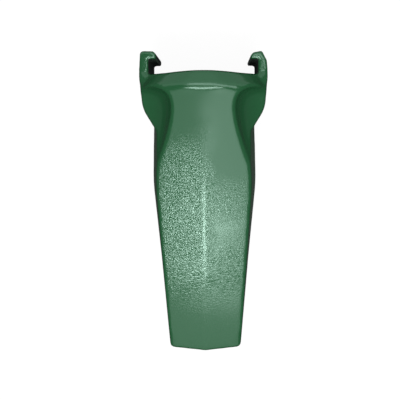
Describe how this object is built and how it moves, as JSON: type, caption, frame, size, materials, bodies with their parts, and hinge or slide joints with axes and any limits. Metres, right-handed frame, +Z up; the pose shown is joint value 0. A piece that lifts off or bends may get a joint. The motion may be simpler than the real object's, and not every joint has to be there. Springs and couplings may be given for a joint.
{
  "type": "bucket tooth",
  "caption": "Cast steel digging tooth for an excavator bucket: a wedge blade with a centre ridge, a socket for the adapter nose and hooked ears for its retainers.",
  "frame": {"origin": "centre of the bounding box at the floor, with the tooth lying on its underside", "axes": "+X across the tooth, +Y from the cutting edge towards the socket mouth, +Z up"},
  "size_m": [0.149, 0.3726, 0.1112],
  "materials": {
    "enamel": "green gloss enamel over sand-cast steel"
  },
  "bodies": {
    "root": {"tooth": "enamel"}
  },
  "joints": []
}
